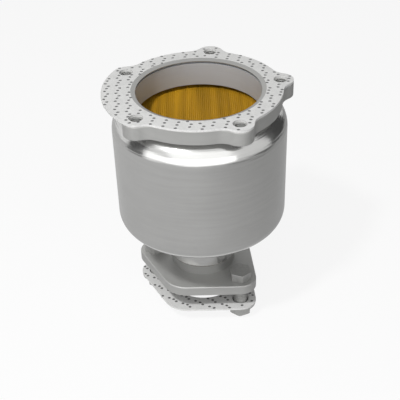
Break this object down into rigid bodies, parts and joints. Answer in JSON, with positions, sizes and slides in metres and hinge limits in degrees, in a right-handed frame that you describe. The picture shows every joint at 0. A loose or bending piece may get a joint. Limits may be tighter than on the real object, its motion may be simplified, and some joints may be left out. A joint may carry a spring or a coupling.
{
  "type": "catalytic converter",
  "caption": "Bolt-on catalytic converter: a round steel can with a gold honeycomb block inside, an eared inlet flange and gasket on top, and a small outlet flange with gasket, bolts and nuts.",
  "frame": {"origin": "centre of the inlet flange's sealing face, on the can's axis", "axes": "+Z out of the inlet along the can's axis, -Y towards the front, from where two inlet ears face the viewer"},
  "size_m": [0.1234, 0.1184, 0.1675],
  "materials": {
    "gasket_facing": "matte",
    "ring_steel": "satin",
    "flange_steel": "satin",
    "weld_metal": "satin",
    "can_steel": "satin",
    "gold_washcoat": "matte",
    "fibre_mat": "matte",
    "knitted_wire": "satin",
    "zinc_plate": "satin"
  },
  "bodies": {
    "root": {"inlet_gasket": "gasket_facing", "inlet_fire_ring": "ring_steel", "inlet_flange": "flange_steel", "inlet_neck": "flange_steel", "inlet_weld": "weld_metal", "shell": "can_steel", "honeycomb_block": "gold_washcoat", "support_mat": "fibre_mat", "upper_mat_seal": "knitted_wire", "lower_mat_seal": "knitted_wire", "outlet_tube": "flange_steel", "collar_weld": "weld_metal", "outlet_flange": "flange_steel", "recess_weld": "weld_metal", "outlet_gasket": "gasket_facing", "outlet_bolts": "zinc_plate", "outlet_nuts": "zinc_plate"}
  },
  "joints": []
}
